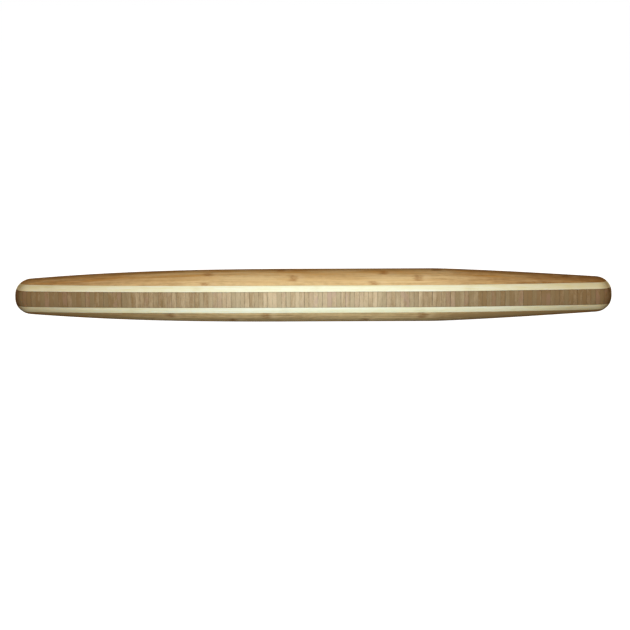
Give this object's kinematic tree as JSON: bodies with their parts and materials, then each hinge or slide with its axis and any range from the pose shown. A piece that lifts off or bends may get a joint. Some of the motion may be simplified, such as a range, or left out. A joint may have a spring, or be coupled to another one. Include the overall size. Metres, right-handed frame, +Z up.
{
  "type": "rolling pin",
  "caption": "Tapered rolling pin without handles, turned from a glued bamboo blank with caramel faces, pale plies and a crosswise brown core, for rolling out dough.",
  "frame": {"origin": "on the table under the middle of the pin's length, straight below its axis", "axes": "+X along the pin towards its firmer tapered end, +Z up and square to the plies, -Y the front"},
  "size_m": [0.52, 0.0462, 0.0462],
  "materials": {
    "caramel_bamboo": "satin oiled, lengthwise fibres, brown node marks",
    "natural_bamboo": "satin oiled, pale and even",
    "core_bamboo": "satin oiled, crosswise strips of varied brown"
  },
  "bodies": {
    "root": {"upper_face_strip_1": "caramel_bamboo", "upper_face_strip_2": "caramel_bamboo", "upper_face_strip_3": "caramel_bamboo", "upper_face_strip_4": "caramel_bamboo", "upper_face_strip_5": "caramel_bamboo", "upper_face_strip_6": "caramel_bamboo", "upper_face_strip_7": "caramel_bamboo", "upper_face_strip_8": "caramel_bamboo", "upper_pale_strip_1": "natural_bamboo", "upper_pale_strip_2": "natural_bamboo", "core_block_01": "core_bamboo", "core_block_02": "core_bamboo", "core_block_03": "core_bamboo", "core_block_04": "core_bamboo", "core_block_05": "core_bamboo", "core_block_06": "core_bamboo", "core_block_07": "core_bamboo", "core_block_08": "core_bamboo", "core_block_09": "core_bamboo", "core_block_10": "core_bamboo", "core_block_11": "core_bamboo", "core_block_12": "core_bamboo", "core_block_13": "core_bamboo", "core_block_14": "core_bamboo", "core_block_15": "core_bamboo", "core_block_16": "core_bamboo", "core_block_17": "core_bamboo", "core_block_18": "core_bamboo", "core_block_19": "core_bamboo", "core_block_20": "core_bamboo", "core_block_21": "core_bamboo", "core_block_22": "core_bamboo", "core_block_23": "core_bamboo", "core_block_24": "core_bamboo", "core_block_25": "core_bamboo", "core_block_26": "core_bamboo", "core_block_27": "core_bamboo", "core_block_28": "core_bamboo", "core_block_29": "core_bamboo", "core_block_30": "core_bamboo", "core_block_31": "core_bamboo", "core_block_32": "core_bamboo", "core_block_33": "core_bamboo", "lower_pale_strip_1": "natural_bamboo", "lower_pale_strip_2": "natural_bamboo", "lower_face_strip_1": "caramel_bamboo", "lower_face_strip_2": "caramel_bamboo", "lower_face_strip_3": "caramel_bamboo", "lower_face_strip_4": "caramel_bamboo", "lower_face_strip_5": "caramel_bamboo", "lower_face_strip_6": "caramel_bamboo", "lower_face_strip_7": "caramel_bamboo", "lower_face_strip_8": "caramel_bamboo"}
  },
  "joints": []
}
